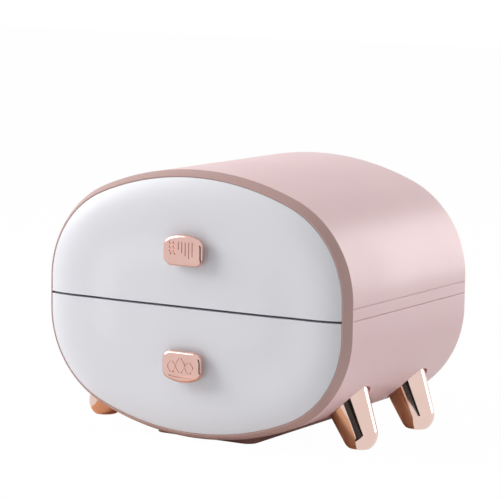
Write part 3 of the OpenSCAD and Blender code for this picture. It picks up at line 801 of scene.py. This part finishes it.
def makeFront(name, node, body, drawer):
    startZ, knobZ = drawer["edgeZ"], drawer["knobZ"]
    span = front["core"] - front["inset"] - front["roll"]
    insets = [front["roll"] * step / front["rollSteps"] for step in range(front["rollSteps"])]
    insets += [front["roll"] + span * step / front["crownSteps"] for step in range(front["crownSteps"] + 1)]
    edge = oval["halfWidth"] - front["inset"]
    line = [(edge, front["rear"], startZ)] + [(edge - inset, faceDepth(inset), startZ) for inset in insets]
    face = drawLine(name, line)
    sweepHalf(startZ, drawer["side"])
    joinUp()
    choose(face, "verts", lambda v: isNear(v.co.y, depthOf(-front["crown"])))
    bpy.ops.mesh.edge_face_add()
    choose(face, "verts", lambda v: isNear(v.co.z, heightOf(startZ)))
    bpy.ops.mesh.edge_face_add()
    joinUp()
    thicken(face, front["skin"])
    softenEdges(face, front["edge"])
    cut(face, neckForm("neckSeat", neck["play"], knobZ, neck["seatFront"], -front["shoulder"]))
    trayEnds = front["trayBossFront"], front["rear"]
    knobEnds = front["knobBossFront"], front["knobBossRear"]
    bosses = []
    for hand in (1, -1):
        for x, z in drawer["screws"]:
            bosses.append(drum("trayBoss", hand * x, z, *trayEnds, front["bossR"]))
        bosses.append(drum("knobBoss", hand * front["knobBossX"], knobZ, *knobEnds, front["bossR"]))
    joinObjects(face, *bosses)
    finishPiece(face, body, node, whiteAbs)


makeFront("upperFront", "upper_drawer_front", "upper_drawer", drawers["upper"])
makeFront("lowerFront", "lower_drawer_front", "lower_drawer", drawers["lower"])

# Knobs: the oval's arcs again on the arched side, and two quarter rounds on the flat one
knob = {
    "halfWidth": 19.3, "halfHeight": 13.4, "cornerZ": 3.2, "part": 2.275, "front": -17.4, "thick": 6,
    "neckRear": -5.7, "neckSink": 1, "faceEdge": 3.0, "faceSteps": 5, "backEdge": 0.9, "backSteps": 3,
    "arcSteps": 14, "grooveR": 0.65, "grooveSink": 0.35, "grooveRound": 2,
}
# Plain patterns of engraved lines, in mm from the knob's middle
waveLines = {
    "waveX": (-11.2, -7.6), "waveLow": -3.6, "waveHigh": 7.2, "swing": 0.9, "waves": 3,
    "stepsPerWave": 8, "barTop": 7.4,
    "bars": ((-3.2, 0.4), (0.2, -1.8), (3.6, -4.2), (7.0, -6.4), (10.4, -4.6)),   # x, lower end
}
leafLines = {
    "leaves": ((-8.6, 9.4, 3.1), (0, 12.4, 3.5), (8.6, 9.4, 3.1)),   # middle, height, half width
    "foot": -4.6, "stemHalf": 0.8, "leafSteps": 10,
    "baseEnd": 11.5, "baseZ": -7.4, "baseSag": 0.9, "baseSteps": 14,
}


def waveMotif():
    low, waves = waveLines["waveLow"], waveLines["waves"]
    tall = waveLines["waveHigh"] - low
    steps = waves * waveLines["stepsPerWave"]
    strokes = []
    for x in waveLines["waveX"]:
        strokes.append([
            (x + waveLines["swing"] * math.sin(2 * math.pi * waves * s / steps), low + tall * s / steps)
            for s in range(steps + 1)
        ])
    return strokes + [[(x, waveLines["barTop"]), (x, end)] for x, end in waveLines["bars"]]


def leafMotif():
    steps = leafLines["leafSteps"]
    strokes = []
    for middle, tall, half in leafLines["leaves"]:
        for side in (1, -1):
            strokes.append([
                (middle + side * (leafLines["stemHalf"] + half * math.sin(math.pi * s / steps)),
                 leafLines["foot"] + tall * s / steps)
                for s in range(steps + 1)
            ])
    end, steps = leafLines["baseEnd"], leafLines["baseSteps"]
    strokes.append([
        (-end + 2 * end * s / steps,
         leafLines["baseZ"] - leafLines["baseSag"] * math.sin(math.pi * s / steps))
        for s in range(steps + 1)
    ])
    return strokes


# Round-bottomed grooves, each cut on its own because strokes that cross can't be cut as one
def engrave(plate, centreZ, strokes):
    depth = knob["front"] + knob["grooveSink"]
    for stroke in strokes:
        groove = drawLine("groove", [(x, depth, centreZ + z) for x, z in stroke])
        hold(groove)
        bpy.ops.object.convert(target="CURVE")
        groove.data.bevel_depth = knob["grooveR"] * mm
        groove.data.bevel_resolution = knob["grooveRound"]
        groove.data.use_fill_caps = True
        bpy.ops.object.convert(target="MESH")
        cut(plate, groove)


# Rounds the edges that lie at depth y
def bevelRound(plate, y, width, steps):
    choose(plate, "edges", lambda e: all(isNear(v.co.y, depthOf(y)) for v in e.verts))
    bpy.ops.mesh.bevel(offset=width * mm, segments=steps, affect="EDGES")


def makeKnob(name, node, body, drawer, strokes):
    side, centreZ, steps = drawer["side"], drawer["knobZ"], knob["arcSteps"]
    endX = 5 * knob["part"]
    endR = knob["halfWidth"] - endX
    topR = endR + 13 * knob["part"]
    archedZ = centreZ + side * knob["cornerZ"]
    flatZ = centreZ + side * (endR - knob["halfHeight"])
    rear = knob["front"] + knob["thick"]
    plate = drawLine(name, [(knob["halfWidth"], rear, archedZ)])
    spinAbout(endX, archedZ, side * cornerTurn, steps)
    spinAbout(0, centreZ + side * (knob["halfHeight"] - topR), side * archTurn, steps)
    spinAbout(-endX, archedZ, side * cornerTurn, steps)
    extrudeBy(0, 0, flatZ - archedZ)
    spinAbout(-endX, flatZ, side * math.pi / 2, steps)
    extrudeBy(2 * endX, 0, 0)
    spinAbout(endX, flatZ, side * math.pi / 2, steps)
    extrudeBy(0, 0, archedZ - flatZ)
    fillAndDraw(-knob["thick"])
    bevelRound(plate, knob["front"], knob["faceEdge"], knob["faceSteps"])
    bevelRound(plate, rear, knob["backEdge"], knob["backSteps"])
    cut(plate, neckForm("neck", 0, centreZ, rear - knob["neckSink"], knob["neckRear"]), "UNION")
    engrave(plate, centreZ, strokes)
    finishPiece(plate, body, node, knobPlating, smooth=50)


makeKnob("upperKnob", "upper_knob", "upper_drawer", drawers["upper"], waveMotif())
makeKnob("lowerKnob", "lower_knob", "lower_drawer", drawers["lower"], leafMotif())

# Trays: open boxes with two shoes below, which run in the rails
tray = {
    "front": 10, "rear": 196, "wall": 2.2, "upperHalf": 117, "upperLow": 15.5, "upperHigh": 65.5,
    "lowerInset": 11.5, "lowerLow": -91.7, "lowerHigh": -3.7, "corner": 3, "cornerSteps": 4, "rim": 0.6,
    "shoeFront": 160, "shoeHalf": 4.7, "shoeDrop": 3, "shoeEdge": 0.5, "upperShoeX": 95, "lowerShoeX": 57,
}


# Deletes a box's upward face at height z
def openTop(obj, z):
    openMesh(obj)
    choose(obj, "faces", lambda f: f.normal.z > 0.99 and isNear(f.calc_center_median().z, heightOf(z)))
    bpy.ops.mesh.delete(type="ONLY_FACE")


# Rounds an open box's corners, gives it walls and adds the shoes
def finishTray(box, body, node, cornerDegrees, shoeX, floor):
    softenEdges(box, tray["corner"], tray["cornerSteps"], cornerDegrees)
    thicken(box, tray["wall"])
    softenEdges(box, tray["rim"], segments=2, degrees=60)
    shoes = []
    for side in (1, -1):
        low = (side * shoeX - tray["shoeHalf"], tray["shoeFront"], floor - tray["shoeDrop"])
        high = (side * shoeX + tray["shoeHalf"], tray["rear"], floor + tray["wall"] / 2)
        shoe = block("shoe", low, high)
        softenEdges(shoe, tray["shoeEdge"], segments=2)
        shoes.append(shoe)
    joinObjects(box, *shoes)
    finishPiece(box, body, node, trayStyrene)


def makeUpperTray():
    x = tray["upperHalf"]
    box = block("upperTray", (-x, tray["front"], tray["upperLow"]), (x, tray["rear"], tray["upperHigh"]))
    openTop(box, tray["upperHigh"])
    finishTray(box, "upper_drawer", "upper_drawer_tray", 35, tray["upperShoeX"], tray["upperLow"])


# The lower tray's sides follow the oval down to its flat floor
def makeLowerTray():
    box = drawLine("lowerTray", [(oval["halfWidth"] - tray["lowerInset"], tray["rear"], tray["lowerHigh"])])
    sweepHalf(tray["lowerHigh"], -1)
    fillAndDraw(tray["front"] - tray["rear"])
    sliceOff(box, 0, 0, tray["lowerLow"], (0, 0, -1))
    openTop(box, tray["lowerHigh"])
    finishTray(box, "lower_drawer", "lower_drawer_tray", 60, tray["lowerShoeX"], tray["lowerLow"])


makeUpperTray()
makeLowerTray()

# Nodes whose CAD shape stays
rails = ("upper_left_rail", "upper_right_rail", "lower_left_rail", "lower_right_rail")
screws = (
    "leg_screws", "upper_shell_screws", "lower_shell_screws", "back_panel_screws", "base_pad_screws",
    "upper_front_screws", "lower_front_screws", "upper_knob_screws", "lower_knob_screws",
)
for name in rails:
    dress(nodes[name], trayStyrene)
for name in screws:
    dress(nodes[name], zinc)
print("rails and screws dressed")

# Lamps are in m and W, in the table's frame; one that doesn't shine is left out of reflections
lamps = {
    "keySoftbox": {"place": (-1.8, -0.95, 1.2), "size": (1.5, 1.5), "power": 42, "shines": True},
    "overheadSoftbox": {"place": (0.2, -0.2, 2.0), "size": (1.6, 1.6), "power": 10, "shines": False},
    "rearSoftbox": {"place": (0.85, 1.6, 0.6), "size": (0.6, 1.3), "power": 12, "shines": True},
    "sideFill": {"place": (2.0, 0.15, 0.25), "size": (1.4, 1.4), "power": 5.2, "shines": False},
}
# Cards are in mm in the case's coordinates, but for flagRise and bounceRise above the table.
# flagTurns are degrees to the right of the front.
cards = {
    "flag": "#0C0A0A", "flagFoot": (131, 41), "flagTurns": (7, 49), "flagReach": 2300, "flagRise": 1.5,
    "flagTop": 620, "bounce": "#F0C8A0", "bounceNear": (-150, -60), "bounceFar": (132, 190),
    "bounceRise": 0.8,
}
studio = {
    "aim": (0, 0, 0.1), "floorSize": 12, "floor": "#F7F7F7", "floorRoughness": 0.9,
    "floorGlow": 0.985, "worldLight": 0.24,
}


def makeLamps():
    for name, lamp in lamps.items():
        bpy.ops.object.light_add(type="AREA", location=lamp["place"])
        light = bpy.context.object
        light.name = name
        light.data.shape = "RECTANGLE"
        light.data.size, light.data.size_y = lamp["size"]
        light.data.energy = lamp["power"]
        light.visible_glossy = lamp["shines"]
        towards = Vector(studio["aim"]) - Vector(lamp["place"])
        light.rotation_euler = towards.to_track_quat("-Z", "Y").to_euler()


# A card that only reflections show, filled from an outline
def reflectedCard(name, colour, points):
    card = drawLine(name, points)
    bpy.ops.mesh.edge_face_add()
    letGo()
    card.visible_camera = False
    card.visible_diffuse = False
    card.visible_shadow = False
    material, tree, shader = newMaterial(name)
    setUp(tree, shader, {"Base Color": toLinear(colour), "Roughness": 1})
    dress(card, material)


# Black cloth laid out in front of the case and up a stand, and a warm board under the case.
# They give the legs their dark streak and their amber left sides.
def makeCards():
    x, y = cards["flagFoot"]
    low, high = cards["flagRise"] - caseFrame["z"], cards["flagTop"]
    far = []
    for turn in map(math.radians, cards["flagTurns"]):
        far.append((x + math.sin(turn) * cards["flagReach"], y - math.cos(turn) * cards["flagReach"]))
    farLine = [(*place, low) for place in far]
    reflectedCard("blackFlagCloth", cards["flag"], [(x, y, low)] + farLine)
    reflectedCard("blackFlagStand", cards["flag"], farLine + [(*place, high) for place in far[::-1]])
    (x0, y0), (x1, y1) = cards["bounceNear"], cards["bounceFar"]
    low = cards["bounceRise"] - caseFrame["z"]
    board = [(x0, y0, low), (x1, y0, low), (x1, y1, low), (x0, y1, low)]
    reflectedCard("warmBounceBoard", cards["bounce"], board)


# 1 where a camera, mirror or glass ray meets the surroundings, and 0 where they light the case
def seenRays(tree):
    path = addNode(tree, "ShaderNodeLightPath")
    seen = path.outputs["Is Camera Ray"]
    for kind in ("Is Glossy Ray", "Is Transmission Ray"):
        either = addNode(tree, "ShaderNodeMath", {"operation": "MAXIMUM"}, {0: seen, 1: path.outputs[kind]})
        seen = either.outputs[0]
    return seen


# A floor that glows nearly white where it is seen, and is a pale matt board to all other light
def makeFloor():
    letGo()
    bpy.ops.mesh.primitive_plane_add(size=studio["floorSize"])
    floor = bpy.context.object
    floor.name = "studioFloor"
    material, tree, shader = newMaterial("paleStudioFloor")
    setUp(tree, shader, {"Base Color": toLinear(studio["floor"]), "Roughness": studio["floorRoughness"]})
    glow = addNode(tree, "ShaderNodeEmission", {"Color": toLinear("#FFFFFF"), "Strength": 1.0})
    seen = seenRays(tree)
    share = addNode(tree, "ShaderNodeMath", {"operation": "MULTIPLY", 1: studio["floorGlow"]}, {0: seen})
    blend = addNode(
        tree, "ShaderNodeMixShader", links={0: share.outputs[0], 1: shader.outputs[0], 2: glow.outputs[0]})
    tree.links.new(blend.outputs[0], tree.nodes["Material Output"].inputs["Surface"])
    dress(floor, material)


def makeWorld():
    world = bpy.data.worlds.new("studioWorld")
    bpy.context.scene.world = world
    world.use_nodes = True
    tree = world.node_tree
    background, seen = tree.nodes["Background"], seenRays(tree)
    strength = addNode(
        tree, "ShaderNodeMapRange", {"To Min": studio["worldLight"], "To Max": 1.0}, {"Value": seen})
    setUp(tree, background, {"Color": toLinear("#FFFFFF")}, {"Strength": strength.outputs["Result"]})


makeLamps()
makeCards()
makeFloor()
makeWorld()
print("studio lit")

bpy.context.scene.view_settings.view_transform = "Standard"
